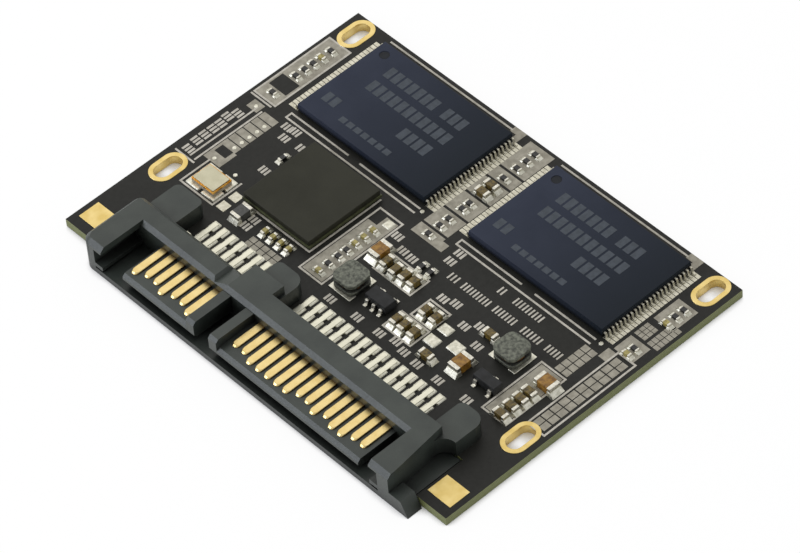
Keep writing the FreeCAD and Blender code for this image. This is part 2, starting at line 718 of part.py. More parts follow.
# Nearer the plug they are placed by how far they lie across from its middle and behind the contact
# feet, and whether they point at the plug.
near_plug = [
    ("flat", -4.175, (6.35, 5.25, 3.95), False),
    ("small", -4.175, (9.85, 8.65, 7.45, 2.65), False),
    ("medium", 21.625, (5.9, 4.75, 3.5, 2.15), False),
    ("medium", 11.325, (2.35,), False),
    ("medium", 13.825, (8.35,), False),
    ("flat", -17.675, (10.25,), True),
    ("medium", -0.075, (7.9,), True),
    ("medium", 1.325, (7.75,), True),
    ("medium", 2.525, (7.9,), True),
    ("medium", 3.725, (7.9,), True),
    ("flat", 2.625, (9.9,), True),
    ("flat", 3.825, (9.9,), True),
    ("medium", 7.225, (6.2,), True),
    ("medium", 8.625, (6.2,), True),
    ("medium", 6.025, (3.5,), True),
    ("medium", 7.125, (3.5,), True),
    ("medium", 8.425, (3.5,), True),
    ("bulk", -1.475, (8.3,), True),
    ("bulk", 14.475, (3.85,), True),
    ("bulk", 22.125, (7.75,), False),
    ("bead", -14.975, (2.4,), True),
]
coupling_first = -11.675
coupling_step = 1.13
near_plug += [("small", coupling_first + coupling_step * count, (2.5,), True) for count in range(4)]
for kind, across, steps, pointing in near_plug:
    chip_places += [(kind, f"tail_end - {behind}", f"plug_shift + {across}", pointing) for behind in steps]

chip_names = {"bulk": "bulk_capacitor", "medium": "medium_capacitor", "small": "small_capacitor",
              "flat": "small_resistor", "bead": "ferrite_bead"}
chip_pieces = {kind: ([], []) for kind in chip_names}
for kind, x, y, pointing in chip_places:
    middles, ends = chip_pieces[kind]
    core = f"({kind}_long - 2 * {kind}_end)"
    shift = f"({kind}_long - {kind}_end) / 2"
    end, wide, high = (f"{kind}_{measure}" for measure in ("end", "wide", "high"))
    for length, move, into in ((core, "0", middles), (end, shift, ends), (end, f"-{shift}", ends)):
        if pointing:
            into.append(block("chip", f"{x} + {move}", y, "board_thick", length, wide, high))
        else:
            into.append(block("chip", x, f"{y} + {move}", "board_thick", wide, length, high))
for kind, label in chip_names.items():
    middles, ends = chip_pieces[kind]
    group(f"{label}_bodies", middles)
    group(f"{label}_ends", ends)

doc.recompute()
for thing in doc.Objects:
    if {"Invalid", "Error"} & set(thing.State):
        raise RuntimeError(f"{thing.Label} failed: {thing.State}")
for node in nodes:
    if node.Shape.isNull() or not node.Shape.isValid():
        raise RuntimeError(f"{node.Label} has no valid shape")

os.makedirs("parts", exist_ok=True)
for node in nodes:
    node.Shape.exportStep(f"parts/{node.Label}.step")
    print(node.Label, len(node.Shape.Solids), "solids", round(node.Shape.Volume, 3), "cubic mm")
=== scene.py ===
import math

import bmesh
import bpy
from mathutils import Matrix, Quaternion, Vector


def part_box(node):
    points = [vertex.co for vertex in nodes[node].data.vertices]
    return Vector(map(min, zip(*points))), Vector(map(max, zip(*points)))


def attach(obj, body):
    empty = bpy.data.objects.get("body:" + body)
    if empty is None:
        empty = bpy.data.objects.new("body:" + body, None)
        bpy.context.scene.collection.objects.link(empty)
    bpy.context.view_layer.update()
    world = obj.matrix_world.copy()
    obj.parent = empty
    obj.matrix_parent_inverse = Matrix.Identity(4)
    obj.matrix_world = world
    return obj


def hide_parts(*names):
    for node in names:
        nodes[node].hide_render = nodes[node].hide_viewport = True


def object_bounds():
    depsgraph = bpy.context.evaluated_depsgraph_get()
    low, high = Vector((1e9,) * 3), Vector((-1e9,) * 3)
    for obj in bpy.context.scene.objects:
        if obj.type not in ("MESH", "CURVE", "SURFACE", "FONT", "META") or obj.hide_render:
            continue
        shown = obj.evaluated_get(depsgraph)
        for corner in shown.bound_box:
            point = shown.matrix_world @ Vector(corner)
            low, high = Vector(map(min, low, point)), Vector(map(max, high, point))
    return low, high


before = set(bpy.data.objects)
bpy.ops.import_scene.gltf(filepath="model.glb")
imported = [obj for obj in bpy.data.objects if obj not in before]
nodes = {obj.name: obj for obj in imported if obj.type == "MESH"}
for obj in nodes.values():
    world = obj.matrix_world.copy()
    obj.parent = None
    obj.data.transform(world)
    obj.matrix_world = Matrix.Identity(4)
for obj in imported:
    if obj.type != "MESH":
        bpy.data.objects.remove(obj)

cadLow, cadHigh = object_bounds()
mm = 0.001
boardLow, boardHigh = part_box("circuit_board")
boardTop = boardHigh.z
footDepth = 0.01  # what lies on the board starts this far under the mask, in mm
print("frame loaded:", len(nodes), "nodes")


# places on the board in mm: along the plug edge from its left corner, back from that edge, up from the mask
def boardSpot(along, back, lift=0.0):
    return Vector((boardHigh.x - back * mm, boardLow.y + along * mm, boardTop + lift * mm))


def block(bm, low, high):
    size = high - low
    place = Matrix.Translation((low + high) / 2) @ Matrix.Diagonal((size.x, size.y, size.z, 1))
    return bmesh.ops.create_cube(bm, size=1, matrix=place)["verts"]


def mound(bm, low, high, spread):
    # block whose foot runs out below its top: by so much on the low and on the high side of X, then of Y
    middle = (low + high) / 2
    for vert in block(bm, low, high):
        if vert.co.z < middle.z:
            for axis in (0, 1):
                vert.co[axis] += spread[axis][1] if vert.co[axis] > middle[axis] else -spread[axis][0]


def allRound(width):
    # the same spread on all four sides
    return ((width * mm,) * 2,) * 2


def slab(bm, along, back, high, slope=0.0):
    # thin plate on the mask, its foot just under the surface
    first = boardSpot(along[0], back[1], -footDepth)
    last = boardSpot(along[1], back[0], high)
    mound(bm, first, last, allRound(slope))


def roundOff(bm, edges, width, segments):
    made = bmesh.ops.bevel(bm, geom=edges, offset=width * mm, offset_type="OFFSET", segments=segments,
                           profile=0.5, affect="EDGES", material=-1, clamp_overlap=True)
    for face in made["faces"]:
        face.smooth = True


def mergedCopy(name):
    # a node's triangles joined into one skin, with flat faces made whole again
    bm = bmesh.new()
    bm.from_mesh(nodes[name].data)
    bmesh.ops.remove_doubles(bm, verts=bm.verts, dist=1e-6)
    bmesh.ops.dissolve_limit(bm, angle_limit=math.radians(1), verts=bm.verts, edges=bm.edges)
    return bm


def islandBoxes(name):
    # lowest and highest corner of each separate solid of a node
    bm = mergedCopy(name)
    waiting = set(bm.verts)
    boxes = []
    while waiting:
        rim = [waiting.pop()]
        found = []
        while rim:
            vert = rim.pop()
            found.append(vert.co.copy())
            near = [e.other_vert(vert) for e in vert.link_edges]
            fresh = [v for v in near if v in waiting]
            waiting.difference_update(fresh)
            rim.extend(fresh)
        low = Vector(min(p[i] for p in found) for i in range(3))
        high = Vector(max(p[i] for p in found) for i in range(3))
        boxes.append((low, high))
    bm.free()
    return sorted(boxes, key=lambda box: tuple(box[0]))  # the same order in each run


def makePiece(name, bm, material, stoodFor=()):
    mesh = bpy.data.meshes.new(name)
    bm.to_mesh(mesh)
    bm.free()
    mesh.materials.append(material)
    piece = bpy.data.objects.new(name, mesh)
    bpy.context.scene.collection.objects.link(piece)
    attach(piece, "root")
    if stoodFor:
        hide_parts(*stoodFor)


# what counts as a narrow face, a gentle or a sharp edge, and a contact nose: mm and radians
soften = {"narrow": 0.6, "gentle": (0.03, 0.6), "sharp": 0.6, "noseZone": 1.5, "noseRise": 0.1}


def softened(pieceName, nodeName, width, material, shortest=0.0, nose=0.0):
    # the node again with its outer edges rounded, as moulding, plating and tumbling leave them
    bm = mergedCopy(nodeName)
    for face in bm.faces:
        narrow = face.calc_area() / max(e.calc_length() for e in face.edges) < soften["narrow"] * mm
        least, most = soften["gentle"]
        gentle = [e for e in face.edges if least < e.calc_face_angle(0) < most]
        face.smooth = narrow and len(gentle) > 1
    if nose:
        # sloping edges near the board's front edge and past it are the corners of the contact noses
        zone = boardHigh.x - soften["noseZone"] * mm
        rise = soften["noseRise"] * mm
        sloping = [e for e in bm.edges if min(v.co.x for v in e.verts) > zone
                   and abs(e.verts[0].co.x - e.verts[1].co.x) > rise
                   and abs(e.verts[0].co.z - e.verts[1].co.z) > rise]
        roundOff(bm, sloping, nose, segments=3)
    outer = [e for e in bm.edges if e.is_manifold and e.calc_face_angle_signed() > soften["sharp"]]
    roundOff(bm, [e for e in outer if e.calc_length() > shortest * mm], width, segments=2)
    makePiece(pieceName, bm, material, (nodeName,))


def linear(hexCode):
    shares = [int(hexCode[i:i + 2], 16) / 255 for i in (1, 3, 5)]
    return tuple(c / 12.92 if c <= 0.04045 else ((c + 0.055) / 1.055) ** 2.4 for c in shares) + (1.0,)


def node(tree, kind, inputs=None, **settings):
    made = tree.nodes.new("ShaderNode" + kind)
    for key, value in settings.items():
        setattr(made, key, value)
    for key, value in (inputs or {}).items():
        if isinstance(value, bpy.types.NodeSocket):
            tree.links.new(value, made.inputs[key])
        else:
            made.inputs[key].default_value = value
    return made


def newTree(name):
    made = bpy.data.materials.new(name)
    made.use_nodes = True
    made.node_tree.nodes.clear()
    return made, made.node_tree


# how far the two noises are stretched, how high the grain stands, and how much painted shade darkens the
# pockets
mottle = {"cloud": (0.35, 0.65), "grain": (0.3, 0.7), "grainHigh": 0.2, "open": (0.35, 0.9),
          "deepest": 0.06, "shade": "#060606"}


def grainy(name, look):
    # one mottled finish: colour and roughness wander between two ends, and a fine grain lifts the surface
    made, tree = newTree(name)
    spot = node(tree, "TexCoord").outputs["Object"]
    cloud = node(tree, "TexNoise", {"Vector": spot, "Scale": 1 / (look["patch"] * mm), "Detail": 4.0})
    grain = node(tree, "TexNoise", {"Vector": spot, "Scale": 1 / (look["grain"] * mm), "Detail": 2.0})
    share = node(tree, "MapRange", {0: cloud.outputs["Fac"], 1: mottle["cloud"][0],
                                    2: mottle["cloud"][1], 3: 0.0, 4: 1.0})
    tone = node(tree, "Mix", {0: share.outputs[0], 6: linear(look["dark"]), 7: linear(look["pale"])},
                data_type="RGBA").outputs[2]
    if "paintedFalloff" in look:
        # painted reflection falloff: the colour darkens to the deep tone across the piece, from one place
        # along Y to another
        across = node(tree, "SeparateXYZ", {0: spot}).outputs["Y"]
        done = node(tree, "MapRange", {0: across, 1: look["paintedFalloff"][0], 2: look["paintedFalloff"][1], 3: 0.0, 4: 1.0})
        tone = node(tree, "Mix", {0: done.outputs[0], 6: tone, 7: linear(look["deep"])},
                    data_type="RGBA").outputs[2]
    if "paintedShadeDepth" in look:
        # painted shade: corners and pockets up to this deep are darkened in the colour by ambient
        # occlusion, against the open faces
        clear = node(tree, "AmbientOcclusion", {"Distance": look["paintedShadeDepth"] * mm}, samples=8)
        share = node(tree, "MapRange", {0: clear.outputs["AO"], 1: mottle["open"][0],
                                        2: mottle["open"][1], 3: mottle["deepest"], 4: 1.0})
        tone = node(tree, "Mix", {0: share.outputs[0], 6: linear(mottle["shade"]), 7: tone},
                    data_type="RGBA").outputs[2]
    rough = node(tree, "MapRange", {0: grain.outputs["Fac"], 1: mottle["grain"][0], 2: mottle["grain"][1],
                                    3: look["rough"][0], 4: look["rough"][1]})
    bump = node(tree, "Bump", {"Height": grain.outputs["Fac"], "Strength": look["lift"],
                               "Distance": look["grain"] * mm * mottle["grainHigh"]})
    finish = {"Base Color": tone, "Roughness": rough.outputs[0], "Normal": bump.outputs[0]}
    given = (("Metallic", "metal"), ("IOR", "ior"))
    finish.update({socket: look[key] for socket, key in given if key in look})
    shader = node(tree, "BsdfPrincipled", finish)
    node(tree, "OutputMaterial", {"Surface": shader.outputs[0]})
    return made


# matt black mask over copper shows as a soft dark sheen; the sawn edge shows the glass-epoxy core
def maskOverGlassEpoxy():
    look = {"mask": ("#1a1a17", "#23231f"), "core": ("#565b36", "#83885a"),
            "patch": 3.0, "weave": 0.5, "ply": 0.2, "rough": (0.42, 0.55), "ior": 1.33,
            "lift": 0.15, "weaveHigh": 0.02, "steep": 0.5}
    waveUnit = 0.314  # a wave texture at scale 1 repeats after this length
    made, tree = newTree("mattBlackMaskOverGlassEpoxy")
    spot = node(tree, "TexCoord").outputs["Object"]
    cloud = node(tree, "TexNoise", {"Vector": spot, "Scale": 1 / (look["patch"] * mm), "Detail": 5.0})
    mask = node(tree, "Mix", {0: cloud.outputs["Fac"], 6: linear(look["mask"][0]),
                              7: linear(look["mask"][1])}, data_type="RGBA")
    # glass plies stand out as thin lines along the sawn edge, drawn 0.2 mm apart
    plies = node(tree, "TexWave", {"Vector": spot, "Scale": waveUnit / (look["ply"] * mm),
                                   "Distortion": 2.0, "Detail": 2.0, "Detail Scale": 1.5},
                 bands_direction="Z")
    core = node(tree, "Mix", {0: plies.outputs["Fac"], 6: linear(look["core"][0]),
                              7: linear(look["core"][1])}, data_type="RGBA")
    facing = node(tree, "SeparateXYZ", {0: node(tree, "NewGeometry").outputs["Normal"]})
    upright = node(tree, "Math", {0: facing.outputs["Z"]}, operation="ABSOLUTE")
    flat = node(tree, "Math", {0: upright.outputs[0], 1: look["steep"]}, operation="GREATER_THAN")
    tone = node(tree, "Mix", {0: flat.outputs[0], 6: core.outputs[2], 7: mask.outputs[2]}, data_type="RGBA")
    weave = node(tree, "TexNoise", {"Vector": spot, "Scale": 1 / (look["weave"] * mm), "Detail": 3.0})
    rough = node(tree, "MapRange", {0: weave.outputs["Fac"], 1: mottle["grain"][0], 2: mottle["grain"][1],
                                    3: look["rough"][0], 4: look["rough"][1]})
    bump = node(tree, "Bump", {"Height": weave.outputs["Fac"], "Strength": look["lift"],
                               "Distance": look["weaveHigh"] * mm})
    shader = node(tree, "BsdfPrincipled", {"Base Color": tone.outputs[2], "Roughness": rough.outputs[0],
                                           "IOR": look["ior"], "Normal": bump.outputs[0]})
    node(tree, "OutputMaterial", {"Surface": shader.outputs[0]})
    return made


# stamped contacts: gold flashed where they mate, tin on the soldered tails behind the wall
def goldFlashedContact(wallRear):
    look = {"gold": ("#dabc74", "#f3e0a6"), "tin": ("#cfcdbb", "#e9e7d5"), "brown": "#7a5014",
            "side": 0.5, "open": (0.4, 0.9), "patch": 0.8, "grain": 0.12, "rough": (0.3, 0.42),
            "lift": 0.12, "grainHigh": 0.02}
    made, tree = newTree("stampedContactGoldAndTin")
    spot = node(tree, "TexCoord").outputs["Object"]
    cloud = node(tree, "TexNoise", {"Vector": spot, "Scale": 1 / (look["patch"] * mm), "Detail": 3.0})
    gold = node(tree, "Mix", {0: cloud.outputs["Fac"], 6: linear(look["gold"][0]),
                              7: linear(look["gold"][1])}, data_type="RGBA")
    tin = node(tree, "Mix", {0: cloud.outputs["Fac"], 6: linear(look["tin"][0]),
                             7: linear(look["tin"][1])}, data_type="RGBA")
    forward = node(tree, "SeparateXYZ", {0: spot}).outputs["X"]
    ahead = node(tree, "Math", {0: forward, 1: wallRear}, operation="GREATER_THAN")
    # painted shade: the thin sides of the blades, close to the plastic, are darkened to brown by ambient
    # occlusion
    clear = node(tree, "AmbientOcclusion", {"Distance": look["side"] * mm}, samples=8)
    clear = node(tree, "MapRange", {0: clear.outputs["AO"], 1: look["open"][0], 2: look["open"][1],
                                    3: 0.0, 4: 1.0})
    blade = node(tree, "Mix", {0: clear.outputs[0], 6: linear(look["brown"]), 7: gold.outputs[2]},
                 data_type="RGBA")
    tone = node(tree, "Mix", {0: ahead.outputs[0], 6: tin.outputs[2], 7: blade.outputs[2]},
                data_type="RGBA")
    grain = node(tree, "TexNoise", {"Vector": spot, "Scale": 1 / (look["grain"] * mm), "Detail": 2.0})
    rough = node(tree, "MapRange", {0: grain.outputs["Fac"], 1: mottle["grain"][0], 2: mottle["grain"][1],
                                    3: look["rough"][0], 4: look["rough"][1]})
    bump = node(tree, "Bump", {"Height": grain.outputs["Fac"], "Strength": look["lift"],
                               "Distance": look["grainHigh"] * mm})
    shader = node(tree, "BsdfPrincipled", {"Base Color": tone.outputs[2], "Roughness": rough.outputs[0],
                                           "Metallic": 1.0, "Normal": bump.outputs[0]})
    node(tree, "OutputMaterial", {"Surface": shader.outputs[0]})
    return made


# plated copper: a pale satin gold with faint plating cloud
goldPlating = grainy("immersionGoldOverNickel", {
    "dark": "#d7bd74", "pale": "#e6cf8d", "patch": 1.2, "grain": 0.15, "rough": (0.3, 0.42), "lift": 0.12,
    "metal": 1.0})
# glass-filled plastic out of a sparked mould: dull grey-black with a fine even grain, and painted shade in
# its corners and pockets
housingPlastic = grainy("mouldedGlassFilledPlastic", {
    "dark": "#303632", "pale": "#3a403b", "patch": 2.5, "grain": 0.12, "rough": (0.32, 0.46), "lift": 0.3,
    "ior": 1.48, "paintedShadeDepth": 3.0})
# pressed moulding compound of the controller: fine matt grain with an olive cast, and painted shade in its
# corners
controllerCompound = grainy("mouldedEpoxyOliveBlack", {
    "dark": "#27271d", "pale": "#2f2f25", "patch": 4.0, "grain": 0.1, "rough": (0.5, 0.62), "lift": 0.3,
    "ior": 1.3, "paintedShadeDepth": 1.5})
# dull electroplated tin: soft grey-white with no clear reflection
leadTin = grainy("mattTinPlate", {
    "dark": "#bcb8a7", "pale": "#d9d6c6", "patch": 0.5, "grain": 0.1, "rough": (0.35, 0.5), "lift": 0.2,
    "metal": 1.0})
# reflowed solder: brighter and smoother than the plating, with small dull patches
solderMetal = grainy("reflowedSolder", {
    "dark": "#c6c4b4", "pale": "#eae8da", "patch": 0.4, "grain": 0.15, "rough": (0.36, 0.52), "lift": 0.25,
    "metal": 1.0})
# bare glass-epoxy of the controller's carrier: dull olive, cloudy from the weave
laminate = grainy("glassEpoxyLaminate", {
    "dark": "#34371f", "pale": "#4b4f30", "patch": 0.8, "grain": 0.15, "rough": (0.45, 0.6), "lift": 0.2})
# fired alumina: warm grey and slightly rough
crystalCeramic = grainy("firedAluminaCeramic", {
    "dark": "#8c8272", "pale": "#b3a995", "patch": 0.8, "grain": 0.1, "rough": (0.5, 0.65), "lift": 0.2})
# gold braze that closes the lid: orange gold
crystalGold = grainy("goldBrazeRing", {
    "dark": "#c98a30", "pale": "#e8b45c", "patch": 0.5, "grain": 0.1, "rough": (0.28, 0.42), "lift": 0.15,
    "metal": 1.0})
# stamped nickel-iron lid: satin silver with a warm cast
crystalMetal = grainy("stampedNickelIronLid", {
    "dark": "#bbb79e", "pale": "#c8c4ac", "patch": 1.5, "grain": 0.1, "rough": (0.4, 0.5), "lift": 0.12,
    "metal": 1.0})
# sintered ferrite: grey-green with a chalky, speckled surface, and painted shade in its corners
ferrite = grainy("sinteredFerrite", {
    "dark": "#40423a", "pale": "#747769", "patch": 0.35, "grain": 0.12, "rough": (0.5, 0.7), "lift": 0.5,
    "paintedShadeDepth": 1.5})
# resin over the winding: dark brown, a little glossy, with amber where the copper is near
windingResin = grainy("pouredWindingResin", {
    "dark": "#15110b", "pale": "#7a4e18", "patch": 0.6, "grain": 0.2, "rough": (0.3, 0.45), "lift": 0.3})
# moulding compound of the small packages: even black, a little satin
packageBlack = grainy("mouldedEpoxyBlack", {
    "dark": "#1d1e1e", "pale": "#292a2b", "patch": 0.8, "grain": 0.1, "rough": (0.45, 0.6), "lift": 0.3,
    "ior": 1.35})
# fired capacitor ceramic: warm orange-brown, faintly mottled
capacitorBrown = grainy("firedCapacitorCeramicBrown", {
    "dark": "#6e4a14", "pale": "#a0762c", "patch": 0.35, "grain": 0.08, "rough": (0.35, 0.5), "lift": 0.2})
# the same ceramic fired darker in the middle sizes: olive-brown
capacitorDark = grainy("firedCapacitorCeramicDark", {
    "dark": "#3c3116", "pale": "#75622a", "patch": 0.35, "grain": 0.08, "rough": (0.35, 0.5), "lift": 0.2})
# the small capacitors are paler: tan
capacitorTan = grainy("firedCapacitorCeramicTan", {
    "dark": "#857a45", "pale": "#b0a462", "patch": 0.35, "grain": 0.08, "rough": (0.35, 0.5), "lift": 0.2})
# glazed resistor face: glossy black
resistorBlack = grainy("glazedResistorFace", {
    "dark": "#141414", "pale": "#232322", "patch": 0.3, "grain": 0.1, "rough": (0.25, 0.4), "lift": 0.2})
# ferrite bead: even dark grey
beadGrey = grainy("firedBeadFerrite", {
    "dark": "#3a3a38", "pale": "#4c4c49", "patch": 0.3, "grain": 0.08, "rough": (0.4, 0.55), "lift": 0.2})
# barrel-plated end caps: bright tin
endTin = grainy("barrelPlatedTin", {
    "dark": "#c6c3b6", "pale": "#ebe8dc", "patch": 0.3, "grain": 0.1, "rough": (0.34, 0.5), "lift": 0.25,
    "metal": 1.0})
# screened legend ink: flat grey-white with uneven cover
legendInk = grainy("screenedEpoxyInk", {
    "dark": "#b2ada1", "pale": "#cbc6ba", "patch": 0.6, "grain": 0.12, "rough": (0.6, 0.75), "lift": 0.2})
# the same ink thinly flooded over whole fields, where the mask shows through
floodedInk = grainy("thinlyFloodedEpoxyInk", {
    "dark": "#8f8a7c", "pale": "#a7a293", "patch": 0.6, "grain": 0.12, "rough": (0.6, 0.75), "lift": 0.2})
# laser-marked compound: paler than the package
packagePrint = grainy("laserMarkedEpoxy", {
    "dark": "#363d45", "pale": "#404750", "patch": 0.5, "grain": 0.1, "rough": (0.6, 0.75), "lift": 0.25})
# floor of the first-pin dimple, left smooth by its mould pin: darker than the grain around it
dimpleFloor = grainy("smoothMouldedEpoxy", {
    "dark": "#0e1219", "pale": "#151a22", "patch": 0.5, "grain": 0.15, "rough": (0.3, 0.4), "lift": 0.1,
    "ior": 1.3})
print("materials made")

# board, plated slots and corner pads
board = {"wallBehindEdge": 5.8, "platingEdge": 0.03, "padEdge": 0.02}
boardNode = nodes["circuit_board"]
boardNode.data.materials.clear()
boardNode.data.materials.append(maskOverGlassEpoxy())
softened("slotPlating", "slot_plating", board["platingEdge"], goldPlating)
softened("cornerPads", "corner_pads", board["padEdge"], goldPlating)
print("board dressed")

# plug: moulded housing and its two banks of contacts
plug = {"edge": 0.13, "shortest": 0.5, "contactEdge": 0.05, "nose": 0.26}
contactMetal = goldFlashedContact(boardHigh.x - board["wallBehindEdge"] * mm)
softened("plugHousing", "connector_housing", plug["edge"], housingPlastic,
         shortest=plug["shortest"])
for bank in ("signal", "power"):
    softened(bank + "Contacts", bank + "_contacts", plug["contactEdge"], contactMetal,
             nose=plug["nose"])
print("plug dressed")

# flash packages and their leads
flash = {"edge": 0.05, "leadEdge": 0.02}
for side in ("left", "right"):
    packageLow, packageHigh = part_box("flash_chip_" + side)
    # pressed moulding compound: fine matt blue-grey grain; painted reflection falloff darkens it to
    # blue-black from the first-pin end to the other, and painted shade darkens its corners
    mouldCompound = grainy(side + "MouldedEpoxyBlueBlack", {
        "dark": "#2a3040", "pale": "#303646", "deep": "#0f1822", "paintedFalloff": (packageLow.y, packageHigh.y),
        "patch": 4.0, "grain": 0.1, "rough": (0.5, 0.62), "lift": 0.3, "ior": 1.28,
        "paintedShadeDepth": 1.5})
    softened(side + "FlashPackage", "flash_chip_" + side, flash["edge"], mouldCompound)
    softened(side + "FlashLeads", "flash_leads_" + side, flash["leadEdge"], leadTin)

# controller, crystal, inductors and the two small moulded packages: node, edge width, finish and slot
modules = {
    "controllerCap": ("controller_cap", 0.06, controllerCompound, "controller_compound"),
    "controllerCarrier": ("controller_substrate", 0.02, laminate, "laminate"),
    "controllerBalls": ("controller_balls", 0.03, solderMetal, "solder"),
    "crystalBase": ("crystal_base", 0.05, crystalCeramic, "crystal_ceramic"),
    "crystalSealRing": ("crystal_seal_ring", 0.02, crystalGold, "crystal_gold"),
    "crystalLid": ("crystal_lid", 0.04, crystalMetal, "crystal_metal"),
    "inductorCores": ("inductor_cores", 0.05, ferrite, "ferrite"),
    "inductorCoatings": ("inductor_coatings", 0.05, windingResin, "winding_resin"),
    "inductorTerminals": ("inductor_terminals", 0.04, solderMetal, "solder"),
    "regulatorBody": ("regulator_body", 0.05, packageBlack, "package_black"),
    "regulatorLeads": ("regulator_leads", 0.03, endTin, "end_tin"),
    "transistorBody": ("transistor_body", 0.05, packageBlack, "package_black"),
    "transistorLeads": ("transistor_leads", 0.03, endTin, "end_tin"),
}
for pieceName, (nodeName, edge, material, slotName) in modules.items():
    softened(pieceName, nodeName, edge, material)
print("packages dressed")

# chip parts, fired bodies between plated ends: stem of the nodes' names, finish, slot and run of the solder
chips = {
    "bulkCapacitor": ("bulk_capacitor", capacitorBrown, "capacitor_brown", 0.45),
    "mediumCapacitor": ("medium_capacitor", capacitorDark, "capacitor_brown", 0.40),
    "smallCapacitor": ("small_capacitor", capacitorTan, "capacitor_tan", 0.35),
    "smallResistor": ("small_resistor", resistorBlack, "resistor_black", 0.35),
    "ferriteBead": ("ferrite_bead", beadGrey, "bead_grey", 0.35),
}
chipJoint = {"bodyEdge": 0.03, "endEdge": 0.05, "side": 0.14, "skin": 0.015, "climb": 0.5, "round": 0.06}


def solderJoint(bm, low, high, outward, reach):
    # solder climbs the outer face of one plated end and runs out over its land
    axis = 0 if abs(outward.x) > abs(outward.y) else 1
    side = chipJoint["side"] * mm
    spread = [(side, side), (side, side)]
    spread[axis] = (0.0, reach * mm) if outward[axis] > 0 else (reach * mm, 0.0)
    skin = Vector((chipJoint["skin"] * mm, chipJoint["skin"] * mm, 0.0))
    foot = Vector((low.x, low.y, boardTop - footDepth * mm))
    crest = Vector((high.x, high.y, boardTop + chipJoint["climb"] * (high.z - boardTop)))
    mound(bm, foot - skin, crest + skin, spread)


def roundedMounds(bm):
    # solder draws itself round everywhere but at the board
    raised = [e for e in bm.edges if max(v.co.z for v in e.verts) > boardTop]
    roundOff(bm, raised, chipJoint["round"], segments=2)
    return bm


jointMesh = bmesh.new()
for pieceName, (stem, material, slotName, reach) in chips.items():
    softened(pieceName + "Bodies", stem + "_bodies", chipJoint["bodyEdge"], material)
    softened(pieceName + "Ends", stem + "_ends", chipJoint["endEdge"], endTin)
    middles = [(low + high) / 2 for low, high in islandBoxes(stem + "_bodies")]
    for low, high in islandBoxes(stem + "_ends"):
        middle = (low + high) / 2
        nearest = min(middles, key=lambda m: (m - middle).length)
        solderJoint(jointMesh, low, high, middle - nearest, reach)
makePiece("chipSolder", roundedMounds(jointMesh), solderMetal)
print("chip parts soldered")

# each contact tail is soldered at its toe and at its heel, and stands clear between
tail = {"toe": (-0.12, 0.95), "heel": (1.5, 2.75), "crest": 0.8, "side": 0.1, "high": 0.13}
tailMesh = bmesh.new()
for bank in ("signal_contacts", "power_contacts"):
    for low, high in islandBoxes(bank):
        middle = (low.y + high.y) / 2
        for start, stop in (tail["toe"], tail["heel"]):
            crest = tail["crest"] / 2 * mm
            first = Vector((low.x + start * mm, middle - crest, boardTop - footDepth * mm))
            last = Vector((low.x + stop * mm, middle + crest, boardTop + tail["high"] * mm))
            mound(tailMesh, first, last, allRound(tail["side"]))
makePiece("tailSolder", roundedMounds(tailMesh), solderMetal)

# tinned lands under the flash leads, and small ones with nothing on them
land = {"beyondTip": 0.55, "underFoot": 0.75, "side": 0.1, "high": 0.03, "slope": 0.015,
        "bare": [((9.4, 10.5), (11.3, 12.4)), ((9.4, 10.5), (12.9, 14.0))]}
landMesh = bmesh.new()
for side in ("left", "right"):
    packageLow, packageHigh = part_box("flash_chip_" + side)
    centre = (packageLow.y + packageHigh.y) / 2
    for low, high in islandBoxes("flash_leads_" + side):
        outward = 1 if (low.y + high.y) / 2 > centre else -1
        tip = high.y if outward > 0 else low.y
        ends = (tip + outward * land["beyondTip"] * mm, tip - outward * land["underFoot"] * mm)
        first = Vector((low.x - land["side"] * mm, min(ends), boardTop - footDepth * mm))
        last = Vector((high.x + land["side"] * mm, max(ends), boardTop + land["high"] * mm))
        mound(landMesh, first, last, allRound(land["slope"]))
for along, back in land["bare"]:
    slab(landMesh, along, back, high=land["high"], slope=land["slope"])
makePiece("flashLands", landMesh, leadTin)

# bare lands that carry a cushion of solder, plated via dots, and four lands under the crystal's corners
spare = {
    "lands": [((36.6, 37.9), (15.4, 16.4)), ((36.6, 38.0), (13.5, 14.6)), ((38.9, 40.3), (14.4, 15.6)),
              ((23.0, 23.9), (20.9, 21.8))],
    "high": 0.12, "slope": 0.1,
    "vias": [(7.7, 15.4), (24.5, 24.8), (49.1, 24.9), (4.5, 15.5), (4.9, 17.8), (4.9, 18.8), (4.9, 19.8),
             (4.9, 20.8), (4.9, 21.8), (2.2, 23.1)],
    "viaWide": 0.5, "viaTaper": 1.2, "viaHigh": 0.06, "viaLift": 0.02, "viaSides": 16,
    "cornerShare": 0.42, "cornerBeyond": 0.4, "cornerHigh": 0.16, "cornerSlope": 0.08,
}


def endSpans(low, high, under, beyond):
    # the two stretches that lie under the ends of a side and run out past them
    return ((low - beyond, low + under), (high - under, high + beyond))


spareMesh = bmesh.new()
for along, back in spare["lands"]:
    slab(spareMesh, along, back, high=spare["high"], slope=spare["slope"])
crystalLow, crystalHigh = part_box("crystal_base")
under = (crystalHigh - crystalLow) * spare["cornerShare"]
beyond = spare["cornerBeyond"] * mm
for acrossX in endSpans(crystalLow.x, crystalHigh.x, under.x, beyond):
    for acrossY in endSpans(crystalLow.y, crystalHigh.y, under.y, beyond):
        first = Vector((acrossX[0], acrossY[0], boardTop - footDepth * mm))
        last = Vector((acrossX[1], acrossY[1], boardTop + spare["cornerHigh"] * mm))
        mound(spareMesh, first, last, allRound(spare["cornerSlope"]))
roundedMounds(spareMesh)
for along, back in spare["vias"]:
    bmesh.ops.create_cone(spareMesh, cap_ends=True, segments=spare["viaSides"],
                          radius1=spare["viaWide"] / 2 * mm,
                          radius2=spare["viaWide"] / spare["viaTaper"] / 2 * mm,
                          depth=spare["viaHigh"] * mm,
                          matrix=Matrix.Translation(boardSpot(along, back, spare["viaLift"])))
makePiece("spareLands", spareMesh, solderMetal)
print("lands laid")

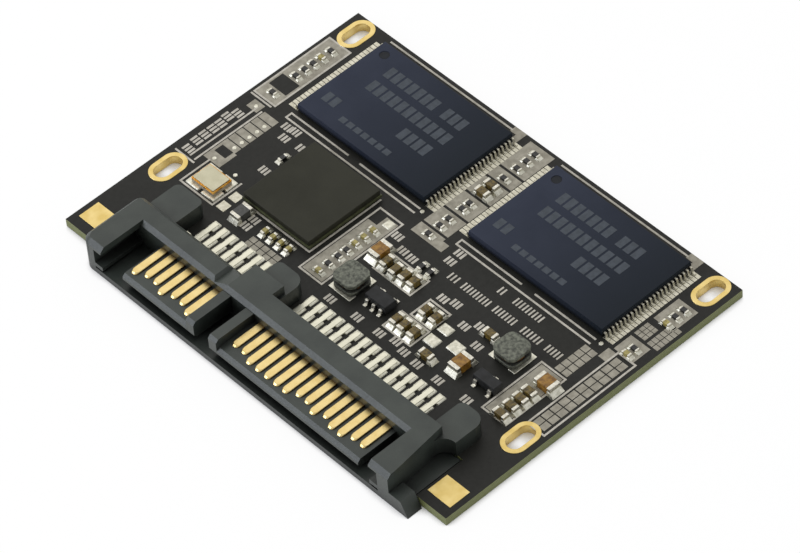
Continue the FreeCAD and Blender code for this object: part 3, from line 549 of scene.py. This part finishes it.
# flooded ink under the rows of chip parts: whole fields as along and back, and fields cut into rows of
# boxes, with how many there are each way
flood = {
    "high": 0.02, "boxShare": 0.87,
    "fields": [
        ((0.4, 3.7), (28.0, 34.7)), ((0.4, 0.75), (26.1, 28.0)), ((3.3, 3.7), (26.1, 28.0)),
        ((0.4, 3.7), (24.3, 26.1)), ((1.4, 2.9), (22.5, 23.7)), ((3.4, 5.8), (15.0, 16.2)),
        ((3.4, 3.7), (16.2, 17.3)), ((5.3, 5.8), (16.2, 17.3)),
        ((25.4, 28.8), (22.4, 23.85)), ((25.4, 28.8), (24.15, 26.65)), ((25.4, 28.8), (26.95, 29.55)),
        ((25.4, 28.8), (29.85, 32.35)), ((25.4, 28.8), (32.65, 34.15)), ((25.4, 28.8), (34.45, 38.6)),
        ((28.8, 29.7), (22.4, 23.5)),
        ((50.4, 53.0), (30.6, 34.0)), ((50.4, 53.0), (25.3, 27.6)), ((50.0, 51.2), (23.6, 25.0)),
        ((22.9, 24.5), (38.2, 38.98)), ((23.7, 24.5), (37.5, 38.2)),
        ((47.2, 48.9), (38.2, 38.98)), ((48.1, 48.9), (37.5, 38.2)),
        ((21.4, 24.2), (11.8, 20.5)), ((22.6, 24.2), (20.5, 21.9)), ((46.9, 49.7), (11.8, 19.2)),
    ],
    "boxes": [
        ((3.4, 5.8), (17.3, 23.3), 1, 6), ((51.4, 53.1), (13.6, 24.8), 2, 10),
        ((48.1, 49.9), (19.7, 23.9), 2, 5), ((15.0, 19.3), (9.9, 11.3), 5, 2),
        ((50.4, 51.9), (28.0, 29.9), 3, 3), ((52.2, 53.7), (27.9, 31.3), 2, 6),
    ],
}
fieldMesh = bmesh.new()
for along, back in flood["fields"]:
    slab(fieldMesh, along, back, flood["high"])
for along, back, alongCount, backCount in flood["boxes"]:
    step = ((along[1] - along[0]) / alongCount, (back[1] - back[0]) / backCount)
    wide, deep = (length * flood["boxShare"] for length in step)
    for column in range(alongCount):
        for row in range(backCount):
            start = (along[0] + column * step[0], back[0] + row * step[1])
            slab(fieldMesh, (start[0], start[0] + wide), (start[1], start[1] + deep), flood["high"])
makePiece("legendFields", fieldMesh, floodedInk)

# legend: lines as along, back, along, back, and frames as along and back; plain bars where the board
# carries print, by the middles of the short groups, and in long rows as start, stop, back
legend = {
    "line": 0.21, "rowBar": 0.19, "markBar": 0.27, "pitch": 0.43, "tall": 0.9, "group": 3,
    "acrossHigh": 0.024, "backHigh": 0.028, "barHigh": 0.032,
    "lines": [
        (2.45, 14.2, 2.45, 23.0), (3.2, 14.1, 3.2, 22.9), (0.8, 13.7, 3.4, 13.7), (0.5, 24.05, 3.3, 24.05),
        (5.6, 24.9, 13.7, 24.9), (15.5, 24.9, 24.0, 24.9), (5.5, 24.15, 24.0, 24.15),
        (5.5, 24.15, 5.5, 24.9), (30.0, 24.9, 38.2, 24.9), (40.2, 24.9, 48.3, 24.9),
        (30.0, 24.15, 48.3, 24.15), (30.0, 24.15, 30.0, 24.9), (5.5, 38.45, 22.9, 38.45),
        (30.0, 38.45, 47.2, 38.45), (11.0, 13.6, 20.45, 13.6), (20.45, 13.6, 20.45, 23.0),
        (4.3, 11.2, 9.0, 11.2), (9.0, 11.2, 9.0, 15.0), (4.3, 11.2, 4.3, 15.0),
        (26.4, 16.5, 31.6, 16.5), (31.6, 16.5, 31.6, 19.0), (26.4, 19.0, 31.6, 19.0),
    ],
    "frames": [
        ((21.2, 24.4), (11.6, 22.3)), ((46.7, 49.9), (11.6, 19.4)), ((33.4, 36.2), (14.9, 17.5)),
        ((51.1, 53.4), (13.2, 25.2)), ((32.5, 36.3), (12.1, 14.6)), ((0.5, 3.6), (24.4, 34.6)),
    ],
    "marks": [
        (1.6, 21.2), (1.2, 20.2), (1.4, 19.1), (1.4, 18.1), (1.4, 17.0), (1.4, 15.9), (1.65, 14.6),
        (6.6, 23.3), (7.7, 23.4), (7.5, 22.1), (9.8, 22.3), (9.3, 17.8), (13.5, 12.7), (13.5, 11.6),
        (25.2, 20.9), (26.9, 19.95), (28.3, 19.85), (31.2, 22.2), (31.2, 23.5), (26.4, 10.9), (30.0, 11.1),
        (34.2, 18.4), (35.6, 18.8), (39.4, 18.4), (38.2, 17.4), (40.9, 16.5), (33.0, 11.2), (34.9, 11.6),
        (36.4, 11.2), (38.4, 11.0), (41.3, 11.0), (45.0, 11.2),
    ],
    "rows": [
        (32.3, 33.7, 20.95), (34.2, 38.0, 20.95), (38.5, 41.5, 21.0), (42.3, 45.0, 21.0),
        (45.6, 47.7, 21.0), (37.1, 38.0, 23.0), (39.2, 43.1, 23.05),
    ],
}
lines = list(legend["lines"])
for along, back in legend["frames"]:
    lines += [(along[0], edge, along[1], edge) for edge in back]
    lines += [(edge, back[0], edge, back[1]) for edge in along]
inkMesh = bmesh.new()
half = legend["line"] / 2
for along1, back1, along2, back2 in lines:
    # lines that run back lie a little higher where they cross the others
    high = legend["acrossHigh"] if back1 == back2 else legend["backHigh"]
    slab(inkMesh, (along1 - half, along2 + half), (back1 - half, back2 + half), high)
reach = legend["group"] * legend["pitch"] / 2
bars = [(*row, legend["rowBar"]) for row in legend["rows"]]
bars += [(along - reach, along + reach, back, legend["markBar"]) for along, back in legend["marks"]]
for start, stop, back, wide in bars:
    count = round((stop - start) / legend["pitch"])
    deep = (back - legend["tall"] / 2, back + legend["tall"] / 2)
    for bar in range(count):
        middle = start + (bar + 0.5) * (stop - start) / count
        slab(inkMesh, (middle - wide / 2, middle + wide / 2), deep, legend["barHigh"])
makePiece("legendPrint", inkMesh, legendInk)
print("legend printed")

# plain bars where the packages carry their print: along and back on the left one, repeated on the right
packageMark = {
    "rows": [((9.0, 16.4), (34.0, 35.5)), ((17.2, 20.3), (34.0, 35.5)), ((9.0, 20.4), (31.6, 33.1)),
             ((16.0, 20.4), (29.2, 30.7)), ((10.3, 18.0), (26.8, 27.5)), ((6.9, 8.9), (27.6, 28.9))],
    "bar": 0.8, "pitch": 1.05, "chipPitch": 24.55, "sunk": 0.01, "proud": 0.012,
}
markMesh = bmesh.new()
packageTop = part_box("flash_chip_left")[1].z
for shift in (0.0, packageMark["chipPitch"]):
    for along, back in packageMark["rows"]:
        for bar in range(round((along[1] - along[0]) / packageMark["pitch"])):
            start = along[0] + shift + bar * packageMark["pitch"]
            first = boardSpot(start, back[1])
            last = boardSpot(start + packageMark["bar"], back[0])
            first.z = packageTop - packageMark["sunk"] * mm
            last.z = packageTop + packageMark["proud"] * mm
            block(markMesh, first, last)
makePiece("packageBars", markMesh, packagePrint)

# smooth floors of the first-pin dimples
dimple = {"wide": 1.0, "inset": 1.4, "deep": 0.06, "thick": 0.02, "sides": 24}
dimpleMesh = bmesh.new()
for side in ("left", "right"):
    packageLow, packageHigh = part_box("flash_chip_" + side)
    middle = Vector((packageLow.x + dimple["inset"] * mm, packageLow.y + dimple["inset"] * mm,
                     packageHigh.z - dimple["deep"] * mm))
    bmesh.ops.create_cone(dimpleMesh, cap_ends=True, segments=dimple["sides"],
                          radius1=dimple["wide"] / 2 * mm, radius2=dimple["wide"] / 2 * mm,
                          depth=dimple["thick"] * mm, matrix=Matrix.Translation(middle))
makePiece("dimpleFloors", dimpleMesh, dimpleFloor)
print("packages marked")

# floor: wide in metres, below and close in mm, the rest tones and shares
table = {"wide": 6.0, "below": 0.05, "tone": "#f2f2f2", "glow": 1.02, "close": 1.5, "open": (0.45, 0.75),
         "share": (0.05, 0.9)}


# pale table: the lens and mirrors see it white; close under the part the white gives way to its shadow
def paleTable():
    made, tree = newTree("paleTable")
    path = node(tree, "LightPath")
    seen = node(tree, "Math", {0: path.outputs["Is Camera Ray"], 1: path.outputs["Is Glossy Ray"]},
                operation="MAXIMUM")
    seen = node(tree, "Math", {0: seen.outputs[0], 1: path.outputs["Is Transmission Ray"]},
                operation="MAXIMUM")
    plain = node(tree, "BsdfDiffuse", {"Color": linear(table["tone"])})
    glow = node(tree, "Emission", {"Color": linear("#ffffff"), "Strength": table["glow"]})
    near = node(tree, "AmbientOcclusion", {"Distance": table["close"] * mm}, samples=16)
    share = node(tree, "MapRange", {0: near.outputs["AO"], 1: table["open"][0], 2: table["open"][1],
                                    3: table["share"][0], 4: table["share"][1]})
    share = node(tree, "Math", {0: seen.outputs[0], 1: share.outputs[0]}, operation="MULTIPLY")
    mixed = node(tree, "MixShader", {0: share.outputs[0], 1: plain.outputs[0], 2: glow.outputs[0]})
    node(tree, "OutputMaterial", {"Surface": mixed.outputs[0]})
    return made


floorMesh = bmesh.new()
bmesh.ops.create_grid(floorMesh, x_segments=1, y_segments=1, size=table["wide"] / 2,
                      matrix=Matrix.Translation((0, 0, cadLow.z - table["below"] * mm)))
floorData = bpy.data.meshes.new("studioFloor")
floorMesh.to_mesh(floorData)
floorMesh.free()
floorData.materials.append(paleTable())
studioFloor = bpy.data.objects.new("studioFloor", floorData)
bpy.context.scene.collection.objects.link(studioFloor)

# soft key from behind the left of the board, cooler light on the plug's front from the left
lamps = {
    "keyLamp": {"place": (-0.24, -0.43, 0.37), "size": 0.62, "power": 0.62, "tone": "#fffaf2"},
    "sideLamp": {"place": (0.50, -0.36, 0.29), "size": 0.36, "power": 1.6, "tone": "#eef2ff"},
}
for name, lamp in lamps.items():
    light = bpy.data.lights.new(name, "AREA")
    light.size = lamp["size"]
    light.energy = lamp["power"]
    light.color = linear(lamp["tone"])[:3]
    holder = bpy.data.objects.new(name, light)
    holder.location = lamp["place"]
    holder.rotation_euler = (-Vector(lamp["place"])).to_track_quat("-Z", "Y").to_euler()
    bpy.context.scene.collection.objects.link(holder)

# even white light from all round
studio = {"tone": "#ffffff", "strength": 0.72}
world = bpy.data.worlds.new("studioAir")
world.use_nodes = True
world.node_tree.nodes.clear()
air = node(world.node_tree, "Background", {"Color": linear(studio["tone"]), "Strength": studio["strength"]})
node(world.node_tree, "OutputWorld", {"Surface": air.outputs[0]})
bpy.context.scene.world = world

# camera fitted to the board's corners in the photo: mm and degrees
shot = {"place": (208.54, 248.77, 355.14), "aim": (6.67, 2.12, 1.0), "roll": -5.13, "lens": 223.3,
        "sensor": 36.0}
lens = bpy.data.cameras.new("photoCamera")
lens.lens = shot["lens"]
lens.sensor_width = shot["sensor"]
camera = bpy.data.objects.new("photoCamera", lens)
camera.location = Vector(shot["place"]) * mm
camera.rotation_mode = "QUATERNION"
aim = (Vector(shot["aim"]) - Vector(shot["place"])).to_track_quat("-Z", "Y")
camera.rotation_quaternion = aim @ Quaternion((0, 0, 1), math.radians(shot["roll"]))
bpy.context.scene.collection.objects.link(camera)
bpy.context.scene.camera = camera
bpy.context.scene.view_settings.view_transform = "Standard"
print("table, light and camera set")
